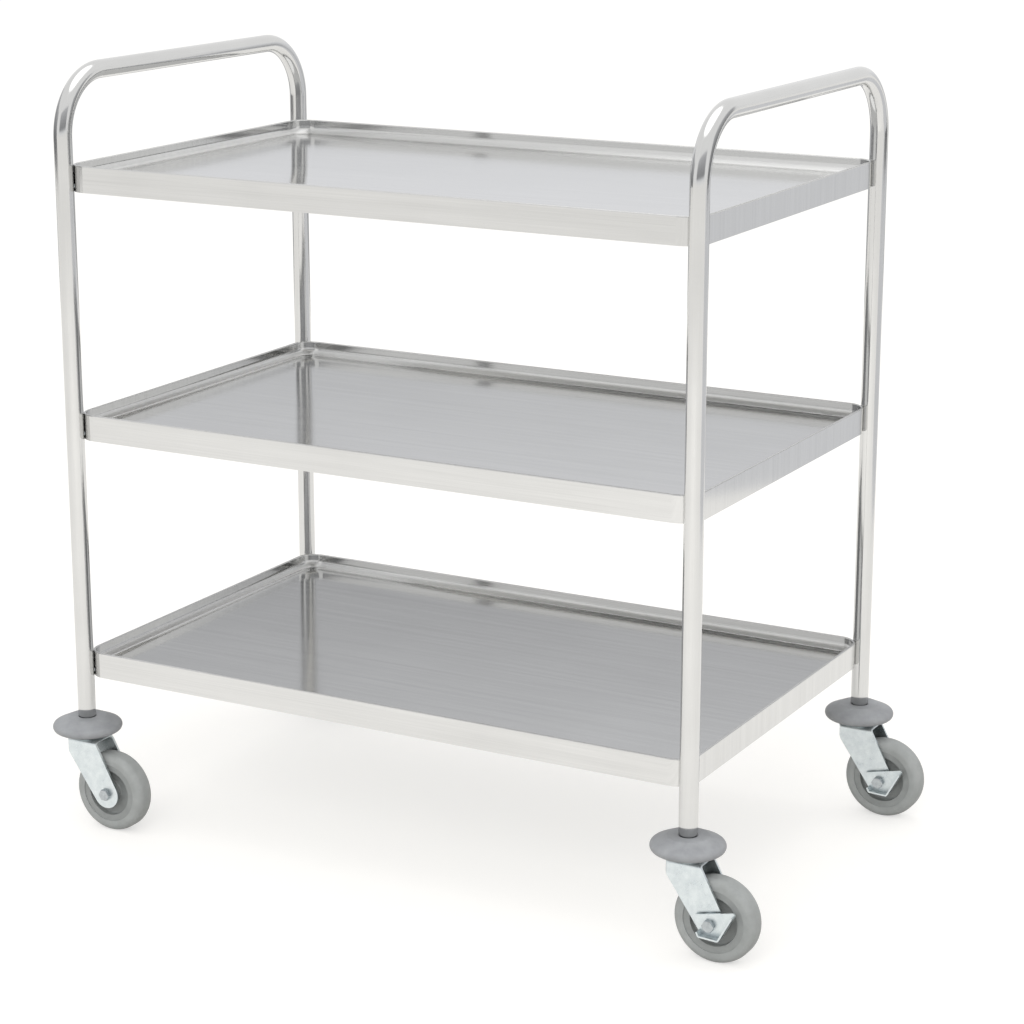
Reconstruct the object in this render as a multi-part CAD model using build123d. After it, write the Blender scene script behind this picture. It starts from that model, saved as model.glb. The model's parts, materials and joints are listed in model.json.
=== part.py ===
from build123d import *

import os
from math import floor, pi, radians, sin, sqrt, tan

# Three-tier serving trolley in millimetres: X along its length, Y from front to back, Z up.
# The origin is on the floor, in the middle of the footprint with all casters trailing towards +X.

# Driving dimensions
overall_length = 850.0  # over the two end tubes
overall_depth = 530.0  # over the leg tubes
overall_height = 948.0  # floor to the top of the handles
tube_diameter = 22.0
tube_wall = 1.2
tray_count = 3
lowest_rim_top = 227.0  # above the floor
handle_rise = 117.0  # from the top tray's rim to the top of the handles
rim_height = 32.0  # outer flange of a tray
tray_depth = 18.0  # rim top down to the tray floor
sheet = 1.0  # tray sheet thickness
wheel_diameter = 100.0
caster_trail = 38.0  # level distance from the swivel axis to the axle
bumper_diameter = 86.0
caster_head = 42.0  # from the top of a wheel to the top of its bumper
pedal_swing = 25.0  # degrees from free to locked

# Fits
running_fit = 0.05  # radial play between a piece that turns and the one it turns on
seat_gap = 0.05  # play between pieces clamped or pressed together

# End frames
tube_radius = tube_diameter / 2
tube_bore = tube_radius - tube_wall
bend_radius = 75.0  # of the tube's centre line
leg_x = overall_length / 2 - tube_radius
leg_y = overall_depth / 2 - tube_radius
grip_z = overall_height - tube_radius

# Trays: the outer flange stands on the planes through the leg axes, and each round corner meets its leg
corner_radius = (tube_radius + seat_gap) / (sqrt(2) - 1)
rim_width = 3 * sheet  # flange, fold gap and inner wall
rim_round = 1.4
foot_radius = 10.0  # between the inner wall and the tray floor
tray_pitch = (overall_height - handle_rise - lowest_rim_top) / (tray_count - 1)  # one rim top to the next
rim_tops = [lowest_rim_top + n * tray_pitch for n in range(tray_count)]

# Tray bolts, level and at 45 degrees, measured outwards from the leg axis towards the tray
bolt_radius = 3.0
bolt_hole_play = 0.2
bolt_hole_radius = bolt_radius + bolt_hole_play
bolt_head_flats = 10.0
bolt_head_height = 4.0
bolt_height_in_flange = (rim_height - tray_depth - sheet) / 2  # midway up the flange below the tray floor
washer_radius = 6.0
washer_thickness = 1.2
rivet_nut_radius = 4.5
rivet_nut_collar_radius = 6.0
rivet_nut_length = 11.0
rivet_nut_collar_length = 4.0
flange_inner_radius = corner_radius - sheet
corner_centre = tube_radius + seat_gap + corner_radius
washer_seat = corner_centre - sqrt(flange_inner_radius**2 - washer_radius**2) + seat_gap
bolt_head_seat = washer_seat + washer_thickness

# Wheel
wheel_radius = wheel_diameter / 2
axle_z = wheel_radius
tyre_half_width = 13.0
tyre_thickness = 13.0
tyre_shoulder = 8.0
core_radius = wheel_radius - tyre_thickness
core_half_width = 12.0
hub_radius = 13.0
core_rim = 8.0
recess_outer_radius = core_radius - core_rim
web_half_thickness = 4.0
recess_round = 2.0

# Axle
axle_radius = 4.0
axle_nut_flats = 13.0
axle_nut_height = 6.5
axle_head_height = 5.3
axle_tail = 2.0  # thread past the nut
sleeve_radius = 6.0

# Corners of bolt heads and nuts, turned off to a cone
hexagon_face = 0.95  # round flat left on an end, as a share of the width across flats
hexagon_slope = 30.0  # degrees from that flat

# Fork, one pressing: a crown and two cheeks
fork_sheet = 3.0
side_room = 3.5  # between the wheel core and a cheek
cheek_in = core_half_width + side_room
cheek_out = cheek_in + fork_sheet
shoulder_radius = 6.0
crown_reach = 25.0  # half length of the crown
crown_round = 25.0  # plan radius of its front
cheek_end_radius = 18.0

# Bumper disc, clamped between the swivel cap and the foot of the leg; heights run down from its top
bumper_radius = bumper_diameter / 2
bumper_socket = 5.0  # depth that the leg stands in
bumper_web = 12.0
bumper_rim_radius = 6.0
bumper_rim_rise = 6.5  # middle of the rim above the seat on the swivel cap
bumper_skirt_wall = 3.5
plug_flange = 2.0
plug_length = 36.0
stem_in_leg = 26.0
caster_height = wheel_diameter + caster_head  # floor to the top of the bumper
leg_foot_z = caster_height - bumper_socket
cap_top = leg_foot_z - plug_flange - bumper_web
bumper_rim_z = cap_top + bumper_rim_rise
stem_top = leg_foot_z + stem_in_leg

# Swivel bearing: a ball ring between the fixed cap and the crown of the fork
stem_radius = 6.0
stem_head_flats = 17.0
stem_head_height = 6.0
stem_head_gap = 0.3
ball_radius = 2.5
race_radius = 15.0
ball_pitch = 1.15  # in ball diameters
ball_count = floor(2 * pi * race_radius / (ball_pitch * 2 * ball_radius))
cap_radius = 20.5
cap_thickness = 3.6
cap_skirt = 1.5
cap_to_ball = 1.0  # underside of the cap to the ball centres
ball_to_crown = 1.4
cap_skirt_gap = 0.6  # above the crown
bumper_skirt_gap = 2.0  # above the crown
cap_low = cap_top - cap_thickness
ball_z = cap_low - cap_to_ball
crown_top = ball_z - ball_to_crown
cap_skirt_low = crown_top + cap_skirt_gap
bumper_skirt_low = crown_top + bumper_skirt_gap
bumper_skirt_outer = cap_radius + bumper_skirt_wall

# Brake, outwards from the middle plane of the wheel
pin_radius = 1.5
pin_circle = 9.0
pin_angles = (90.0, 270.0)
pin_play = 0.3
shoe_radius = 16.0
shoe_thickness = 1.6
shoe_gap = 0.1  # between the shoe and its cheek with the pedal up
shoe_out = cheek_in - shoe_gap
shoe_in = shoe_out - shoe_thickness
lock_gap = 0.1  # left between the shoe and the wheel with the pedal down
shoe_travel = shoe_in - core_half_width - lock_gap
side_play = 0.2  # along the axle, on each side of the cam and pedal
cam_in = cheek_out + side_play
cam_thickness = 2.6
cam_radius = 13.0
ramp_shallow = 0.2
ramp_deep = ramp_shallow + shoe_travel
pin_tip = cam_in + ramp_deep - pin_play
pedal_in = cam_in + cam_thickness
pedal_sheet = 2.0
pedal_out = pedal_in + pedal_sheet
pedal_lip = 9.0
pedal_corner = 3.0
pedal_corners = ((-16.0, 7.0), (28.0, 17.0), (13.0, -11.0), (-8.0, -10.0))  # level and up from the axle
lip_slope = 30.0  # degrees; the lip runs along the part of the edge below this line
braked_head_seat = pedal_out + side_play

# Where the four casters stand, as signs of X and Y, and which carry a brake
corners = {"front_left": (-1, -1), "front_right": (1, -1), "back_left": (-1, 1), "back_right": (1, 1)}
braked_corners = ("front_right", "back_right")

# The casters reach further towards +X than towards -X, which sets the middle of the footprint
reach_ahead = max(bumper_radius, caster_trail + wheel_radius)
reach_behind = max(bumper_radius, wheel_radius - caster_trail)
frame_x = (reach_behind - reach_ahead) / 2


def disc(radius, low, high):
    """A cylinder on the Z axis between two heights."""
    return Pos(0, 0, (low + high) / 2) * Cylinder(radius, high - low)


def ring(outer, inner, low, high):
    """A tube on the Z axis between two heights."""
    return disc(outer, low, high) - disc(inner, low, high)


def hexagon(across_flats, low, high):
    """A hexagonal prism on the Z axis between two heights, its corners turned off at both ends."""
    outline = RegularPolygon(across_flats / 2, 6, major_radius=False)
    prism = Pos(0, 0, low) * extrude(outline, high - low)
    face = hexagon_face * across_flats / 2
    widest = across_flats / sqrt(3) + seat_gap
    drop = (widest - face) * tan(radians(hexagon_slope))
    cone_ends = Polyline(
        (0, low),
        (face, low),
        (widest, low + drop),
        (widest, high - drop),
        (face, high),
        (0, high),
        close=True,
    )
    return prism & turned(make_face(cone_ends))


def turned(profile):
    """A solid of revolution about Z from a profile drawn as radius and height."""
    return revolve(Plane.XZ * profile, Axis.Z)


def block(radius_low, radius_high, low, high):
    """A rectangle of a profile, from one radius to another and one height to another."""
    centre = Pos((radius_low + radius_high) / 2, (low + high) / 2)
    return centre * Rectangle(radius_high - radius_low, high - low)


def at_leg(corner, piece):
    """A piece drawn about the Z axis, moved to a leg's axis."""
    sign_x, sign_y = corners[corner]
    return Pos(sign_x * leg_x, sign_y * leg_y, 0) * piece


def on_axle(piece):
    """A piece drawn about the Z axis, laid on the axle: its +Z becomes the outer side and its +Y is up."""
    return Pos(caster_trail, 0, axle_z) * Plane.XZ.location * piece


def at_fixings(piece, heights, signs):
    """Copies of a piece drawn along +Z, at leg axes and given heights, pointing at the middle of the tray."""
    copies = []
    for z in heights:
        for sign_x, sign_y in signs:
            foot = (sign_x * leg_x, sign_y * leg_y, z)
            copies.append(Plane(foot, x_dir=(0, 0, 1), z_dir=(-sign_x, -sign_y, 0)).location * piece)
    return copies


bolt_heights = [top - rim_height + bolt_height_in_flange for top in rim_tops]
all_signs = list(corners.values())


def end_frame(sign_x):
    """Two legs and the push handle, one bent tube with a hole for each rivet nut."""
    x = sign_x * leg_x
    foot = (x, -leg_y, leg_foot_z)
    path = FilletPolyline(
        foot,
        (x, -leg_y, grip_z),
        (x, leg_y, grip_z),
        (x, leg_y, leg_foot_z),
        radius=bend_radius,
    )
    wall = Circle(tube_radius) - Circle(tube_bore)
    tube = sweep(Plane(foot) * wall, path=path)
    hole = disc(rivet_nut_radius + seat_gap, 0, 2 * tube_radius)
    return tube - at_fixings(hole, bolt_heights, [(sign_x, -1), (sign_x, 1)])


def slab(inset, low, high):
    """A plate with the tray's outline, drawn in by an inset."""
    outline = RectangleRounded(2 * (leg_x - inset), 2 * (leg_y - inset), corner_radius - inset)
    return Pos(0, 0, low) * extrude(outline, high - low)


def round_foot(body, radius):
    """The body with its lowest edges rounded."""
    return fillet(body.edges().group_by(Axis.Z)[0], radius)


def tray(rim_top):
    """A pressed dish whose rim is folded over and down into the outer flange."""
    flange_low = rim_top - rim_height
    floor_top = rim_top - tray_depth
    flange = slab(0, flange_low, rim_top) - slab(sheet, flange_low, rim_top)
    fold = slab(0, rim_top - sheet, rim_top) - slab(rim_width, rim_top - sheet, rim_top)
    outside = round_foot(slab(rim_width - sheet, floor_top - sheet, rim_top), foot_radius + sheet)
    inside = round_foot(slab(rim_width, floor_top, rim_top), foot_radius)
    body = flange + fold + (outside - inside)
    body = fillet(body.edges().group_by(Axis.Z)[-1], rim_round)
    hole = disc(bolt_hole_radius, tube_radius, bolt_head_seat)
    return body - at_fixings(hole, [flange_low + bolt_height_in_flange], all_signs)


def tray_bolt():
    """Hexagon bolt, its head under the tray floor and its point in the rivet nut."""
    shank = disc(bolt_radius - seat_gap, tube_radius - rivet_nut_length, bolt_head_seat)
    return shank + hexagon(bolt_head_flats, bolt_head_seat, bolt_head_seat + bolt_head_height)


def rivet_nut():
    """Flush threaded insert: a shell through the leg wall and the collar that setting it forms inside."""
    leg_outside = Rot(0, 90, 0) * Cylinder(tube_radius, 4 * rivet_nut_radius)
    leg_inside = Rot(0, 90, 0) * Cylinder(tube_bore - seat_gap, 4 * rivet_nut_radius)
    shell = disc(rivet_nut_radius, tube_radius - rivet_nut_length, tube_radius) & leg_outside
    collar = disc(rivet_nut_collar_radius, tube_bore - rivet_nut_collar_length, tube_bore) & leg_inside
    return shell + collar - disc(bolt_radius, 0, tube_radius)


def leg_plug():
    """Flanged plug pressed into the foot of a leg, bored for the stem."""
    body = disc(tube_bore - seat_gap, leg_foot_z, leg_foot_z + plug_length)
    body += disc(tube_radius, leg_foot_z - plug_flange, leg_foot_z)
    return body - disc(stem_radius + seat_gap, leg_foot_z - plug_flange, leg_foot_z + plug_length)


def bumper():
    """Mushroom disc with a socket for the leg and a skirt over the swivel cap."""
    hub = block(stem_radius + 2 * seat_gap, bumper_skirt_outer, cap_top, caster_height)
    rim = Pos(bumper_radius - bumper_rim_radius, bumper_rim_z) * Circle(bumper_rim_radius)
    profile = make_hull(hub.edges() + rim.edges())
    profile += block(cap_radius + 2 * seat_gap, bumper_skirt_outer, bumper_skirt_low, cap_top)
    profile -= block(0, tube_radius + 2 * seat_gap, leg_foot_z - plug_flange, caster_height)
    return turned(profile)


def ball_groove():
    """The ring-shaped space that the swivel balls run in."""
    return Pos(0, 0, ball_z) * Torus(race_radius, ball_radius + running_fit)


def swivel_cap():
    """Fixed upper race with a dust skirt, clamped under the bumper."""
    body = disc(cap_radius, cap_skirt_low, cap_top)
    body -= disc(cap_radius - cap_skirt, cap_skirt_low, cap_low)
    return body - disc(stem_radius + seat_gap, cap_low, cap_top) - ball_groove()


def king_pin():
    """Stem bolt: its head under the crown, its thread in the leg plug."""
    head_top = crown_top - fork_sheet - stem_head_gap
    head = hexagon(stem_head_flats, head_top - stem_head_height, head_top)
    return head + disc(stem_radius, head_top, stem_top)


def swivel_balls():
    """The ring of loose balls."""
    step = 360 / ball_count
    ball = Pos(race_radius, 0, ball_z) * Sphere(ball_radius)
    return [Rot(0, 0, n * step) * ball for n in range(ball_count)]


def fork(braked):
    """Crown and cheeks: a rounded channel trimmed to the side view and the plan view."""
    low = axle_z - cheek_end_radius
    outer = block(-cheek_out, cheek_out, low, crown_top)
    outer = fillet(outer.vertices().group_by(Axis.Y)[-1], shoulder_radius)
    inner = block(-cheek_in, cheek_in, low, crown_top - fork_sheet)
    inner = fillet(inner.vertices().group_by(Axis.Y)[-1], shoulder_radius - fork_sheet)
    reach = caster_trail + cheek_end_radius
    channel = extrude(Plane.YZ * (outer - inner), reach, both=True)

    corner_x = crown_reach - shoulder_radius
    corner_z = crown_top - shoulder_radius
    rounds = [Pos(x, corner_z) * Circle(shoulder_radius) for x in (-corner_x, corner_x)]
    rounds.append(Pos(caster_trail, axle_z) * Circle(cheek_end_radius))
    side_view = make_hull([edge for circle in rounds for edge in circle.edges()])
    plan_view = Circle(crown_round) + block(0, reach, -cheek_out, cheek_out)
    body = channel & extrude(Plane.XZ * side_view, cheek_out, both=True) & extrude(plan_view, crown_top)

    body -= disc(stem_radius + running_fit, crown_top - fork_sheet, crown_top)
    body -= ball_groove()
    body -= on_axle(disc(axle_radius + seat_gap, -cheek_out, cheek_out))
    if braked:
        hole = disc(pin_radius + pin_play, cheek_in, cheek_out)
        body -= [on_axle(Rot(0, 0, angle) * Pos(pin_circle, 0, 0) * hole) for angle in pin_angles]
    return body


def axle_bolt(braked):
    """Hexagon bolt through both cheeks; on a braked caster it also carries the pedal."""
    head_seat = braked_head_seat if braked else cheek_out
    shank = disc(axle_radius, -cheek_out - axle_nut_height - axle_tail, head_seat)
    return on_axle(shank + hexagon(axle_nut_flats, head_seat, head_seat + axle_head_height))


def axle_nut():
    """Hexagon nut on the inner side."""
    body = hexagon(axle_nut_flats, -cheek_out - axle_nut_height, -cheek_out)
    return on_axle(body - disc(axle_radius + seat_gap, -cheek_out - axle_nut_height, -cheek_out))


def axle_sleeve():
    """Spacer tube between the cheeks, which the wheel turns on."""
    return on_axle(ring(sleeve_radius, axle_radius + seat_gap, -cheek_in, cheek_in))


def wheel_core():
    """Moulded wheel centre: hub, thin web and rim, with a round recess on each side."""
    profile = block(sleeve_radius + running_fit, core_radius, -core_half_width, core_half_width)
    for low, high in ((web_half_thickness, core_half_width), (-core_half_width, -web_half_thickness)):
        profile -= block(hub_radius, recess_outer_radius, low, high)
    web_corners = [v for v in profile.vertices() if abs(abs(v.Y) - web_half_thickness) < seat_gap]
    return on_axle(turned(fillet(web_corners, recess_round)))


def tyre():
    """Solid tyre with rounded shoulders, seated on the core."""
    profile = block(core_radius, wheel_radius, -tyre_half_width, tyre_half_width)
    return on_axle(turned(fillet(profile.vertices().group_by(Axis.X)[-1], tyre_shoulder)))


def pedal_outline(corner):
    """The pedal's face: a round hub hulled with four corners of the given radius."""
    rounds = [Circle(cam_radius - pedal_corner + corner)]
    rounds += [Pos(x, z) * Circle(corner) for x, z in pedal_corners]
    return make_hull([edge for circle in rounds for edge in circle.edges()])


def brake_pedal():
    """Stamped rocker on the axle bolt, with a lip folded outwards along its lower edge for the foot."""
    plate = Pos(0, 0, pedal_in) * extrude(pedal_outline(pedal_corner), pedal_sheet)
    lip = Pos(0, 0, pedal_in) * extrude(pedal_outline(pedal_corner), pedal_sheet + pedal_lip)
    lip -= Pos(0, 0, pedal_in) * extrude(pedal_outline(pedal_corner - pedal_sheet), pedal_sheet + pedal_lip)
    size = 4 * wheel_radius
    lip &= Rot(0, 0, lip_slope) * Pos(0, -size / 2, 0) * Box(size, size, size)
    return on_axle(plate + lip - disc(axle_radius + running_fit, pedal_in, pedal_out))


def ramp_slot():
    """Sloped slot of the cam, deep where the push pin rests and shallow where it ends, centred on its run."""
    half_run = pin_circle * sin(radians(pedal_swing / 2))
    end = half_run + pin_radius + 2 * pin_play
    mouth = cam_in - side_play
    outline = Polyline(
        (-end, mouth),
        (-end, cam_in + ramp_deep),
        (-half_run, cam_in + ramp_deep),
        (half_run, cam_in + ramp_shallow),
        (end, cam_in + ramp_shallow),
        (end, mouth),
        close=True,
    )
    half_width = pin_radius + 2 * pin_play
    return Pos(pin_circle, 0, 0) * extrude(Plane.YZ * make_face(outline), half_width, both=True)


def brake_cam():
    """Disc fixed behind the pedal, with a ramp for each push pin."""
    body = ring(cam_radius, axle_radius + running_fit, cam_in, pedal_in)
    return on_axle(body - [Rot(0, 0, angle + pedal_swing / 2) * ramp_slot() for angle in pin_angles])


def brake_shoe():
    """Ring that is pressed against the wheel core, with two round-ended push pins through the cheek."""
    body = ring(shoe_radius, sleeve_radius + pin_play, shoe_in, shoe_out)
    ball_end = pin_tip - pin_radius
    pin = disc(pin_radius, shoe_in, ball_end) + Pos(0, 0, ball_end) * Sphere(pin_radius)
    for angle in pin_angles:
        body += Rot(0, 0, angle) * Pos(pin_circle, 0, 0) * pin
    return on_axle(body)


def save(name, pieces):
    """One file per node, moved from the frame's middle to the origin."""
    solids = [solid for piece in pieces for solid in (Pos(frame_x, 0, 0) * piece).solids()]
    export_step(solids[0] if len(solids) == 1 else Compound(solids), f"parts/{name}.step")


def main():
    os.makedirs("parts", exist_ok=True)
    save("left_end_frame", [end_frame(-1)])
    save("right_end_frame", [end_frame(1)])
    for name, rim_top in zip(("bottom_tray", "middle_tray", "top_tray"), rim_tops):
        save(name, [tray(rim_top)])
    washer = ring(washer_radius, bolt_hole_radius, washer_seat, bolt_head_seat)
    save("tray_bolts", at_fixings(tray_bolt(), bolt_heights, all_signs))
    save("tray_washers", at_fixings(washer, bolt_heights, all_signs))
    save("rivet_nuts", at_fixings(rivet_nut(), bolt_heights, all_signs))
    save("leg_plugs", [at_leg(corner, leg_plug()) for corner in corners])
    save("king_pins", [at_leg(corner, king_pin()) for corner in corners])

    for corner in corners:
        braked = corner in braked_corners
        pieces = {
            "bumper": [bumper()],
            "swivel_cap": [swivel_cap()],
            "swivel_balls": swivel_balls(),
            "fork": [fork(braked)],
            "axle_bolt": [axle_bolt(braked)],
            "axle_nut": [axle_nut()],
            "axle_sleeve": [axle_sleeve()],
            "wheel_core": [wheel_core()],
            "tyre": [tyre()],
        }
        if braked:
            pieces["brake_pedal"] = [brake_pedal()]
            pieces["brake_cam"] = [brake_cam()]
            pieces["brake_shoe"] = [brake_shoe()]
        for name, made in pieces.items():
            save(f"{corner}_{name}", [at_leg(corner, piece) for piece in made])


main()
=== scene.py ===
import json
import math

import bpy
import numpy as np
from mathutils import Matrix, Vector


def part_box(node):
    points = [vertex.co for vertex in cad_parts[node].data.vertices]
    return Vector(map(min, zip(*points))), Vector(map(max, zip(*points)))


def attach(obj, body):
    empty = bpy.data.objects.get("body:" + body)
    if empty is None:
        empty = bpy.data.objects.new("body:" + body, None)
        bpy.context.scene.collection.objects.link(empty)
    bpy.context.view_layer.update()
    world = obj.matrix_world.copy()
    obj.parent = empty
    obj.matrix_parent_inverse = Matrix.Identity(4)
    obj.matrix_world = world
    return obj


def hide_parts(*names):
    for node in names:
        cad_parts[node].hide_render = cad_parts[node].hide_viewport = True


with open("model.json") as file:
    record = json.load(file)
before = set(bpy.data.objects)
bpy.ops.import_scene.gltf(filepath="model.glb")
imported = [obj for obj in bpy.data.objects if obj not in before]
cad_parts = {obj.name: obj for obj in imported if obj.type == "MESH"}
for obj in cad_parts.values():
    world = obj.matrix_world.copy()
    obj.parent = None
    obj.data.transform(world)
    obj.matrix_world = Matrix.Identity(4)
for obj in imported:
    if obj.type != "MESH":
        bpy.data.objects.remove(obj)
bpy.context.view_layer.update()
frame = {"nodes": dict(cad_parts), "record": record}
nodes = frame["nodes"]
scene = bpy.context.scene
print("frame loaded:", len(nodes), "nodes")

mmPerMetre = 1000.0
white = "#FFFFFF"
black = "#000000"


def linear(hexCode):  # sRGB hex to linear RGBA
    parts = [int(hexCode[i:i + 2], 16) / 255 for i in (1, 3, 5)]
    return (*(p / 12.92 if p <= 0.04045 else ((p + 0.055) / 1.055) ** 2.4 for p in parts), 1.0)


# a socket of another node is linked, anything else is set as the socket's own value
def setSockets(tree, node, sockets):
    for name, value in sockets.items():
        if isinstance(value, bpy.types.NodeSocket):
            tree.links.new(value, node.inputs[name])
        else:
            node.inputs[name].default_value = value


# adds a node with its settings and sockets, and gives its outputs
def addNode(tree, kind, sockets=None, **settings):
    node = tree.nodes.new(kind)
    for name, value in settings.items():
        setattr(node, name, value)
    setSockets(tree, node, sockets or {})
    return node.outputs


def newMaterial(name):
    material = bpy.data.materials.new(name)
    material.use_nodes = True
    tree = material.node_tree
    return material, tree, tree.nodes["Principled BSDF"]


middle = {"From Min": 0.3, "From Max": 0.7}  # of a pattern's values, spread over the whole range of a look
mixFactor, mixFirst, mixSecond, mixResult = 0, 6, 7, 2  # sockets of a colour mix, where several share a name
# how many finer layers each pattern has
detail = {
    "line": 3.0, "streak": 2.0, "smudge": 4.0, "wave": 0.0,
    "cloud": 4.0, "speck": 1.0, "patch": 5.0, "grain": 1.0,
}
patchStrength = 0.6  # of each finer layer of the patches against the one before


# marks of a brush or belt, given as their length and width, on a surface laid flat in metres
def brushMarks(tree, laidFlat, sizeMm, layers):
    scale = (mmPerMetre / sizeMm[0], mmPerMetre / sizeMm[1], 0.0)
    stretched = addNode(tree, "ShaderNodeMapping", {"Vector": laidFlat, "Scale": scale})[0]
    return addNode(tree, "ShaderNodeTexNoise", {"Vector": stretched, "Scale": 1.0, "Detail": layers})["Fac"]


# up to three patterns added up, each in its share
def addUp(tree, patterns, shares):
    together = addNode(tree, "ShaderNodeCombineXYZ", dict(enumerate(patterns)))[0]
    return addNode(tree, "ShaderNodeVectorMath", {0: together, 1: shares}, operation="DOT_PRODUCT")["Value"]


# one pattern takes the colour from dark to light, and one takes the roughness from low to high
def twoTones(tree, look, colourBy, roughBy):
    lightness = addNode(tree, "ShaderNodeMapRange", {"Value": colourBy, **middle})[0]
    colour = addNode(tree, "ShaderNodeMix", {mixFactor: lightness, mixFirst: linear(look["dark"]),
                                             mixSecond: linear(look["light"])}, data_type="RGBA")[mixResult]
    low, high = look["roughness"]
    roughness = addNode(tree, "ShaderNodeMapRange", {"Value": roughBy, **middle,
                                                     "To Min": low, "To Max": high})[0]
    return {"Base Color": colour, "Roughness": roughness}


# Brushed stainless sheet: long fine lines along the sheet, which smear every reflection across them
sheetLook = {
    "light": "#D9D9D8", "dark": "#C9C9C8",
    "lineMm": (160.0, 1.4),  # a real brush line is about 0.1 mm wide, drawn coarser to show
    "streakMm": (420.0, 9.0),  # passes of the brush
    "smudgeMm": 140.0,
    "shares": (0.4, 0.35, 0.25),  # of lines, streaks and smudges
    "waveMm": 260.0,  # slow waviness of a pressed sheet
    "roughness": (0.075, 0.11),
    "foldMatt": 0.30,  # pressing stretches the folds, which leaves them rougher
    "smear": 0.9,  # 0 is the same both ways, and towards 1 it is rougher across the lines than along them
    "lineDepth": 0.00002, "waveDepth": 0.0012,  # in metres, as every depth here
}


def stainlessSheetBrushed(look):
    material, tree, shader = newMaterial("stainless_sheet_brushed")
    coords = addNode(tree, "ShaderNodeTexCoord")
    place = coords["Object"]
    height = addNode(tree, "ShaderNodeSeparateXYZ", {"Vector": place})["Z"]
    tilt = addNode(tree, "ShaderNodeVectorMath", {0: coords["Normal"]}, operation="ABSOLUTE")[0]
    facing = addNode(tree, "ShaderNodeSeparateXYZ", {"Vector": tilt})
    # the brushing runs along X on the flat and turns down with the sheet at the folds
    laidFlat = addNode(tree, "ShaderNodeVectorMath", {0: tilt, 1: height, 2: place},
                       operation="MULTIPLY_ADD")[0]
    lines = brushMarks(tree, laidFlat, look["lineMm"], detail["line"])
    streaks = brushMarks(tree, laidFlat, look["streakMm"], detail["streak"])
    smudge = addNode(tree, "ShaderNodeTexNoise", {"Vector": place, "Scale": mmPerMetre / look["smudgeMm"],
                                                  "Detail": detail["smudge"]})["Fac"]
    wave = addNode(tree, "ShaderNodeTexNoise", {"Vector": place, "Scale": mmPerMetre / look["waveMm"],
                                                "Detail": detail["wave"]})["Fac"]
    shade = addUp(tree, (lines, streaks, smudge), look["shares"])
    sockets = twoTones(tree, look, shade, shade)
    # 4 z2 (1 - z2), with z2 the square of the upward share of the normal, is 1 halfway round a fold
    level = addNode(tree, "ShaderNodeMath", {0: facing["Z"], 1: facing["Z"]}, operation="MULTIPLY")[0]
    upright = addNode(tree, "ShaderNodeMath", {0: 1.0, 1: level}, operation="SUBTRACT")[0]
    fold = addNode(tree, "ShaderNodeMath", {0: level, 1: upright}, operation="MULTIPLY")[0]
    sockets["Roughness"] = addNode(tree, "ShaderNodeMath", {0: fold, 1: 4 * look["foldMatt"],
                                                            2: sockets["Roughness"]},
                                   operation="MULTIPLY_ADD")[0]
    waved = addNode(tree, "ShaderNodeBump", {"Height": wave, "Distance": look["waveDepth"]})[0]
    sockets["Normal"] = addNode(tree, "ShaderNodeBump", {"Height": lines, "Distance": look["lineDepth"],
                                                         "Normal": waved})[0]
    # across the lines is Y on the flat and Z on a side that faces front or back
    flatness = addNode(tree, "ShaderNodeMath", {0: 1.0, 1: facing["Y"]}, operation="SUBTRACT")[0]
    sockets["Tangent"] = addNode(tree, "ShaderNodeCombineXYZ", {"Y": flatness, "Z": facing["Y"]})[0]
    setSockets(tree, shader, {**sockets, "Anisotropic": look["smear"], "Metallic": 1.0})
    return material


# Polished stainless tube: belt lines run along the tube, so highlights stay long and narrow
tubeLook = {
    "light": "#D6D6D5", "dark": "#CDCDCC",
    "lineMm": (90.0, 0.9),  # drawn coarser than the real polish to show
    "smudgeMm": 60.0,
    "shares": (0.5, 0.5, 0.0),  # of lines and smudges
    "roughness": (0.10, 0.16),
    "lineDepth": 0.000012,
}


def stainlessTubePolished(look):
    material, tree, shader = newMaterial("stainless_tube_polished")
    laidFlat = addNode(tree, "ShaderNodeUVMap", uv_map="lengthAndGirth")[0]
    lines = brushMarks(tree, laidFlat, look["lineMm"], detail["line"])
    smudge = addNode(tree, "ShaderNodeTexNoise", {"Vector": laidFlat, "Scale": mmPerMetre / look["smudgeMm"],
                                                  "Detail": detail["smudge"]})["Fac"]
    shade = addUp(tree, (lines, smudge), look["shares"])
    sockets = twoTones(tree, look, shade, shade)
    sockets["Normal"] = addNode(tree, "ShaderNodeBump", {"Height": lines, "Distance": look["lineDepth"]})[0]
    setSockets(tree, shader, {**sockets, "Metallic": 1.0})
    return material


# Zinc plated steel: a cool bright skin, slightly cloudy, with painted shade darkening its recesses
zincLook = {
    "light": "#E3E9EA", "dark": "#C8D0D3",
    # painted shade: the dark colour laid into the recesses, and how far round it reaches
    "recess": "#3C4244", "recessMm": 70.0,
    "cloudMm": 9.0, "speckMm": 0.8,  # plating crystals are finer than 0.1 mm, drawn coarser to show
    "shares": (0.7, 0.3, 0.0),  # of clouds and specks
    "roughness": (0.26, 0.42),
    "speckDepth": 0.00003,
}
pedalLook = {**zincLook, "recess": "#B4BCBF", "recessMm": 10.0}  # a paler painted shade over a shorter reach in the pedal's hollows
fastenerLook = {
    "light": "#C9CED0", "dark": "#A2A8AB",
    # painted shade in the fastener's recesses
    "recess": "#6A6F72", "recessMm": 6.0,
    "cloudMm": 5.0, "speckMm": 0.6,
    "shares": (0.7, 0.3, 0.0),
    "roughness": (0.28, 0.45),
    "speckDepth": 0.00002,
}
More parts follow.
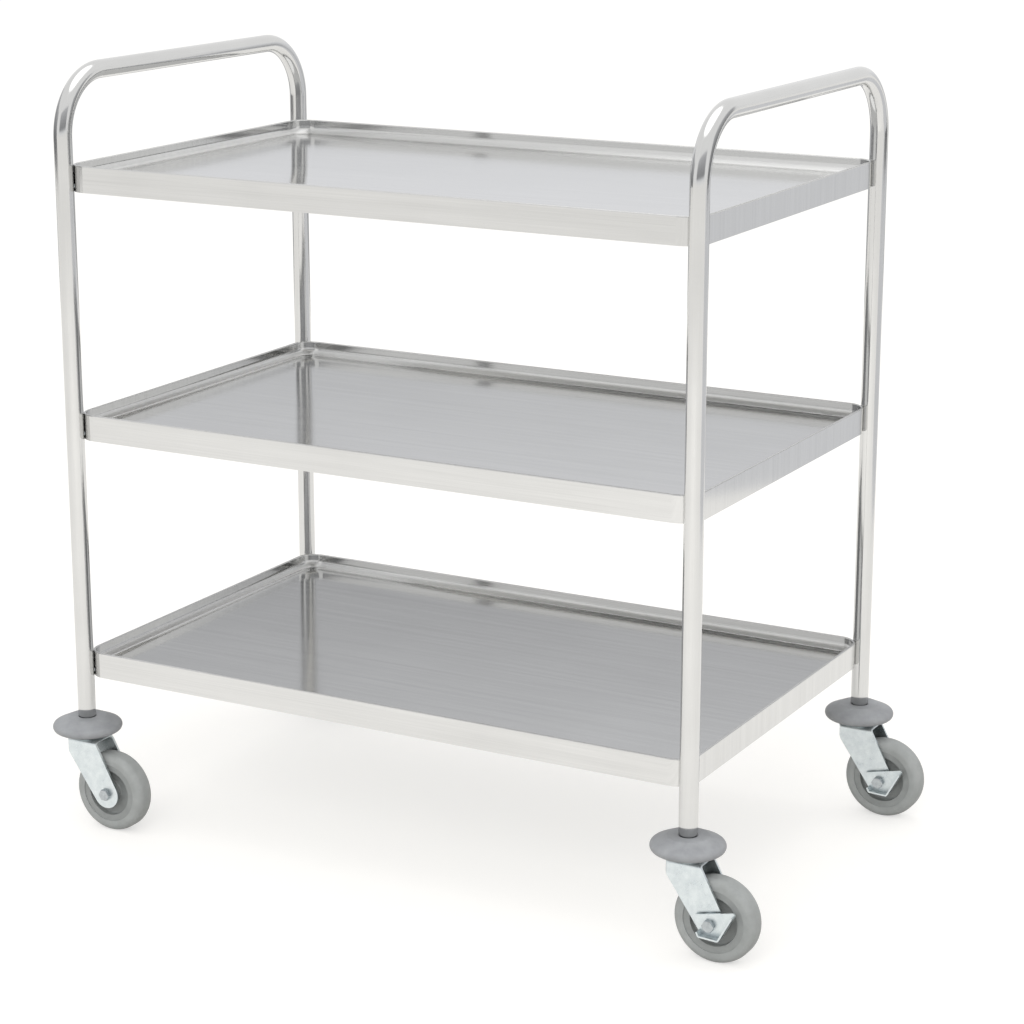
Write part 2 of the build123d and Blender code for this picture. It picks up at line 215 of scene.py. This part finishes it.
# Bearing steel: bare, ground and polished, so a small sharp highlight on a grey ball
ballLook = {
    "light": "#C8C8C8", "dark": "#B4B4B4",
    # painted shade in the ball's recesses
    "recess": "#8C8C8C", "recessMm": 2.0,
    "cloudMm": 2.0, "speckMm": 0.3,
    "shares": (0.7, 0.3, 0.0),
    "roughness": (0.08, 0.14),
    "speckDepth": 0.000002,
}
recessSamples = 8  # rays that feel out how closed in a spot is, for the painted recess shade


def smallSteel(name, look):
    material, tree, shader = newMaterial(name)
    place = addNode(tree, "ShaderNodeTexCoord")["Object"]
    cloud = addNode(tree, "ShaderNodeTexNoise", {"Vector": place, "Scale": mmPerMetre / look["cloudMm"],
                                                 "Detail": detail["cloud"]})["Fac"]
    speck = addNode(tree, "ShaderNodeTexNoise", {"Vector": place, "Scale": mmPerMetre / look["speckMm"],
                                                 "Detail": detail["speck"]})["Fac"]
    sockets = twoTones(tree, look, addUp(tree, (cloud, speck), look["shares"]), cloud)
    # painted shade: where ambient occlusion finds a spot closed in, the colour goes towards the look's
    # recess shade
    openness = addNode(tree, "ShaderNodeAmbientOcclusion", {"Distance": look["recessMm"] / mmPerMetre},
                       only_local=True, samples=recessSamples)["AO"]
    outOfShade = addNode(tree, "ShaderNodeMapRange", {"Value": openness, **middle})[0]
    shadeColour = linear(look["recess"])
    sockets["Base Color"] = addNode(tree, "ShaderNodeMix", {mixFactor: outOfShade, mixFirst: shadeColour,
                                                            mixSecond: sockets["Base Color"]},
                                    data_type="RGBA")[mixResult]
    sockets["Normal"] = addNode(tree, "ShaderNodeBump", {"Height": speck, "Distance": look["speckDepth"]})[0]
    setSockets(tree, shader, {**sockets, "Metallic": 1.0})
    return material


# Moulded rubber and plastic: matt skin with a fine moulded grain and paler rubbed patches
bumperLook = {
    "light": "#A4A6A9", "dark": "#8F9194",
    "patchMm": 22.0, "grainMm": 1.0,  # spark grain of a mould is about 0.1 mm, drawn coarser to show
    "roughness": (0.48, 0.66),
    "grainDepth": 0.00008,
    "ior": 1.5,
}
tyreLook = {
    "light": "#ABAEAD", "dark": "#9A9D9C",
    "patchMm": 18.0, "grainMm": 0.9,
    "roughness": (0.55, 0.75),
    "grainDepth": 0.0001,
    "ior": 1.5,
}
coreLook = {
    "light": "#9C9F9E", "dark": "#8D908F",
    "patchMm": 15.0, "grainMm": 0.8,
    "roughness": (0.42, 0.58),
    "grainDepth": 0.00005,
    "ior": 1.49,
}
plugLook = {
    "light": "#3A3B3C", "dark": "#2A2B2C",
    "patchMm": 8.0, "grainMm": 0.6,
    "roughness": (0.4, 0.55),
    "grainDepth": 0.00003,
    "ior": 1.53,
}


def mouldedSkin(name, look):
    material, tree, shader = newMaterial(name)
    place = addNode(tree, "ShaderNodeTexCoord")["Object"]
    patch = addNode(tree, "ShaderNodeTexNoise", {"Vector": place, "Scale": mmPerMetre / look["patchMm"],
                                                 "Detail": detail["patch"],
                                                 "Roughness": patchStrength})["Fac"]
    grain = addNode(tree, "ShaderNodeTexNoise", {"Vector": place, "Scale": mmPerMetre / look["grainMm"],
                                                 "Detail": detail["grain"]})["Fac"]
    sockets = twoTones(tree, look, patch, patch)
    sockets["Normal"] = addNode(tree, "ShaderNodeBump", {"Height": grain, "Distance": look["grainDepth"]})[0]
    setSockets(tree, shader, {**sockets, "IOR": look["ior"]})
    return material


pedalFinish = smallSteel("zinc_plated_pedal", pedalLook)
tubeFinish = stainlessTubePolished(tubeLook)
finishes = {
    "stainless_sheet": stainlessSheetBrushed(sheetLook),
    "stainless_tube": tubeFinish,
    "zinc_pressing": smallSteel("zinc_plated_pressing", zincLook),
    "zinc_fastener": smallSteel("zinc_plated_fastener", fastenerLook),
    "bearing_steel": smallSteel("bearing_steel_polished", ballLook),
    "plug_plastic": mouldedSkin("nylon_moulded", plugLook),
    "bumper_rubber": mouldedSkin("bumper_rubber_moulded", bumperLook),
    "wheel_plastic": mouldedSkin("polypropylene_moulded", coreLook),
    "tyre_rubber": mouldedSkin("tyre_rubber_moulded", tyreLook),
}
for part in frame["record"]["subparts"]:
    node = nodes[part["node"]]
    node.data.materials.clear()
    isPedal = part["node"].endswith("brake_pedal")
    node.data.materials.append(pedalFinish if isPedal else finishes[part["material_slot"]])
print("finishes set")


# End frames: a circle carried up one leg, round the bend, along the grip and down the other leg
endFrame = {
    "tubeRadius": 0.011,
    "bendRadius": 0.075,
    "tipShare": 0.001,  # of the tube's radius, left where an end closes to a point
    "around": 64,
    "bendSteps": 28,
    "legSteps": 40,
    "gripSteps": 20,
}


def meshPiece(name, points, faces, uv=None):
    mesh = bpy.data.meshes.new(name)
    mesh.vertices.add(len(points))
    mesh.vertices.foreach_set("co", points.astype(np.float32).ravel())
    mesh.loops.add(faces.size)
    mesh.loops.foreach_set("vertex_index", faces.astype(np.int32).ravel())
    mesh.polygons.add(len(faces))
    mesh.polygons.foreach_set("loop_start", np.arange(0, faces.size, faces.shape[1], dtype=np.int32))
    mesh.update(calc_edges=True)
    mesh.validate()
    mesh.polygons.foreach_set("use_smooth", np.ones(len(mesh.polygons), dtype=bool))
    if uv is not None:
        layer = mesh.uv_layers.new(name="lengthAndGirth")
        layer.data.foreach_set("uv", uv.astype(np.float32).ravel())
    piece = bpy.data.objects.new(name, mesh)
    scene.collection.objects.link(piece)
    return piece


# Point(s, v) = path(s) + radius * (cos v * X + sin v * normal(s)), with path in the plane of the end frame.
# The path is leg, quarter circle, grip, quarter circle, leg, and its two ends close to a point.
def bentTube(name, node, look):
    low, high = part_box(node)
    radius, bend = look["tubeRadius"], look["bendRadius"]
    x = (low.x + high.x) / 2
    legY = high.y - radius
    gripZ = high.z - radius
    bendY, bendZ = legY - bend, gripZ - bend
    rise = np.linspace(low.z, bendZ, look["legSteps"])
    turn = np.linspace(0, math.pi / 2, look["bendSteps"])[1:-1]
    span = np.linspace(-bendY, bendY, look["gripSteps"])
    pathY = np.concatenate([np.full_like(rise, -legY), -bendY - bend * np.cos(turn), span,
                            bendY + bend * np.sin(turn), np.full_like(rise, legY)])
    pathZ = np.concatenate([rise, bendZ + bend * np.sin(turn), np.full_like(span, gripZ),
                            bendZ + bend * np.cos(turn), rise[::-1]])
    heading = np.concatenate([np.full_like(rise, math.pi / 2), math.pi / 2 - turn, np.zeros_like(span),
                              -turn, np.full_like(rise, -math.pi / 2)])
    length = np.concatenate([[0], np.cumsum(np.hypot(np.diff(pathY), np.diff(pathZ)))])
    reach = np.full_like(pathY, radius)
    ends = [0, *range(len(pathY)), -1]  # the first and last rings again, drawn in to a point
    pathY, pathZ, heading, length, reach = (a[ends] for a in (pathY, pathZ, heading, length, reach))
    reach[[0, -1]] = radius * look["tipShare"]
    around = np.arange(look["around"]) * 2 * math.pi / look["around"]
    side = reach[:, None] * np.sin(around)
    points = np.stack([x + reach[:, None] * np.cos(around),
                       pathY[:, None] - side * np.sin(heading)[:, None],
                       pathZ[:, None] + side * np.cos(heading)[:, None]], -1)
    rings, count = points.shape[:2]
    ring, step = np.meshgrid(np.arange(rings - 1), np.arange(count), indexing="ij")
    after = (step + 1) % count
    faces = np.stack([ring * count + step, ring * count + after, (ring + 1) * count + after,
                      (ring + 1) * count + step], -1).reshape(-1, 4)
    girth = 2 * math.pi * radius / count
    start, end = length[ring], length[ring + 1]
    near, far = step * girth, (step + 1) * girth
    corners = ((start, near), (start, far), (end, far), (end, near))
    uv = np.stack([np.stack(corner, -1) for corner in corners], 2)
    piece = meshPiece(name, points.reshape(-1, 3), faces, uv)
    piece.data.materials.append(tubeFinish)
    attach(piece, "frame")
    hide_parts(node)


for side in ("left", "right"):
    bentTube(f"{side}_bent_tube", f"{side}_end_frame", endFrame)
print("end frames made")


# Floor, sky, cards and lamps
floorLook = {
    "size": 40.0,
    "colour": "#C6C4C0",
    "roughness": 0.9,
    "glow": 0.52,  # brings the unshaded floor up to white
}
skyLight = 0.95  # what the white sky gives the object, where 1 is white
# Cards that only metal sees: a turn is in degrees to the left of the camera's heading, a shade is at the
# card's foot and top, and a fade is the height over which the card comes in from white
cards = {
    "back_card": {"turn": 0.0, "away": 1.25, "width": 3.4, "height": (0.40, 1.18), "shade": (0.435, 1.0)},
    "left_card": {"turn": 78.0, "away": 1.9, "width": 2.0, "height": (0.62, 1.60), "shade": (0.20, 0.62)},
    "right_card": {"turn": -90.0, "away": 1.9, "width": 1.3, "height": (0.62, 1.60), "shade": (0.20, 0.62)},
    "front_card": {"turn": 180.0, "away": 3.4, "width": 5.6, "height": (0.95, 3.2), "shade": (0.28, 0.66),
                   "fade": 0.35},
    "right_low_card": {"turn": -84.0, "away": 1.9, "width": 2.8, "height": (0.0, 0.62),
                       "shade": (0.84, 0.84)},
}
cardColour = "#FAFBFE"
sharpEdge = 0.001  # the fade of a card that names none
lamps = {
    "top": {"place": (0.0, 0.0, 3.2), "size": 2.6, "power": 14.0, "inMetal": True},
    "key": {"place": (0.9, -3.0, 2.2), "size": 2.0, "power": 34.0, "inMetal": False},
}
lampAim = (0.0, 0.0, 0.5)
view = {
    "eye": (1.5879, -2.8411, 1.2810),
    "azimuth": 28.75,
    "pitch": 15.12,
    "lens": 96.42,
    "sensor": 36.0,
}


def seenBackground(tree):  # 1 for what the camera, metal and glass see, 0 for what lights the object
    path = addNode(tree, "ShaderNodeLightPath")
    shiny = addNode(tree, "ShaderNodeMath", {0: path["Is Glossy Ray"], 1: path["Is Transmission Ray"]},
                    operation="MAXIMUM")[0]
    return addNode(tree, "ShaderNodeMath", {0: path["Is Camera Ray"], 1: shiny}, operation="MAXIMUM")[0]


def stagePlane(name, corners, material):
    piece = meshPiece(name, np.array(corners, float), np.array([[0, 1, 2, 3]]))
    piece.data.materials.append(material)
    return piece


def makeFloor(look):
    material, tree, shader = newMaterial("pale_floor")
    seen = seenBackground(tree)
    glow = addNode(tree, "ShaderNodeMath", {0: seen, 1: look["glow"]}, operation="MULTIPLY")[0]
    setSockets(tree, shader, {"Base Color": linear(look["colour"]), "Roughness": look["roughness"],
                              "Specular IOR Level": 0.0, "Emission Color": linear(white),
                              "Emission Strength": glow})
    half = look["size"] / 2
    stagePlane("floor", [(-half, -half, 0), (half, -half, 0), (half, half, 0), (-half, half, 0)], material)


def makeCard(name, look):
    material, tree, shader = newMaterial(name)
    low, high = look["height"]
    place = addNode(tree, "ShaderNodeTexCoord")["Object"]
    height = addNode(tree, "ShaderNodeSeparateXYZ", {"Vector": place})["Z"]
    shade = addNode(tree, "ShaderNodeMapRange", {"Value": height, "From Min": low, "From Max": high,
                                                 "To Min": look["shade"][0], "To Max": look["shade"][1]})[0]
    fadeTop = low + look.get("fade", sharpEdge)
    strength = addNode(tree, "ShaderNodeMapRange", {"Value": height, "From Min": low, "From Max": fadeTop,
                                                    "To Min": 1.0, "To Max": shade},
                       interpolation_type="SMOOTHSTEP")[0]
    setSockets(tree, shader, {"Base Color": linear(black), "Specular IOR Level": 0.0,
                              "Emission Color": linear(cardColour), "Emission Strength": strength})
    heading = math.radians(view["azimuth"] + look["turn"])
    ahead = Vector((-math.sin(heading), math.cos(heading), 0))
    across = Vector((ahead.y, -ahead.x, 0)) * look["width"] / 2
    centre = ahead * look["away"]
    foot, top = Vector((0, 0, low)), Vector((0, 0, high))
    card = stagePlane(name, [centre - across + foot, centre + across + foot, centre + across + top,
                             centre - across + top], material)
    card.visible_camera = False
    card.visible_diffuse = False
    card.visible_shadow = False


def makeSky():
    world = bpy.data.worlds.new("white_studio")
    scene.world = world
    world.use_nodes = True
    tree = world.node_tree
    seen = seenBackground(tree)
    strength = addNode(tree, "ShaderNodeMapRange", {"Value": seen, "To Min": skyLight, "To Max": 1.0})[0]
    setSockets(tree, tree.nodes["Background"], {"Color": linear(white), "Strength": strength})


def makeLamp(name, look):
    lamp = bpy.data.lights.new(name, "AREA")
    lamp.shape = "DISK"
    lamp.size = look["size"]
    lamp.energy = look["power"]
    holder = bpy.data.objects.new(name, lamp)
    holder.location = look["place"]
    holder.rotation_mode = "QUATERNION"
    holder.rotation_quaternion = (Vector(lampAim) - Vector(look["place"])).to_track_quat("-Z", "Y")
    holder.visible_glossy = look["inMetal"]
    scene.collection.objects.link(holder)


makeFloor(floorLook)
for name, look in cards.items():
    makeCard(name, look)
makeSky()
for name, look in lamps.items():
    makeLamp(name, look)
print("studio lit")

cameraData = bpy.data.cameras.new("photo_view")
cameraData.sensor_width = view["sensor"]
cameraData.lens = view["lens"]
camera = bpy.data.objects.new("photo_view", cameraData)
azimuth, pitch = math.radians(view["azimuth"]), math.radians(view["pitch"])
ahead = Vector((-math.sin(azimuth) * math.cos(pitch), math.cos(azimuth) * math.cos(pitch), -math.sin(pitch)))
camera.location = view["eye"]
camera.rotation_mode = "QUATERNION"
camera.rotation_quaternion = ahead.to_track_quat("-Z", "Y")
scene.collection.objects.link(camera)
scene.camera = camera
scene.view_settings.view_transform = "Standard"
print("camera placed")
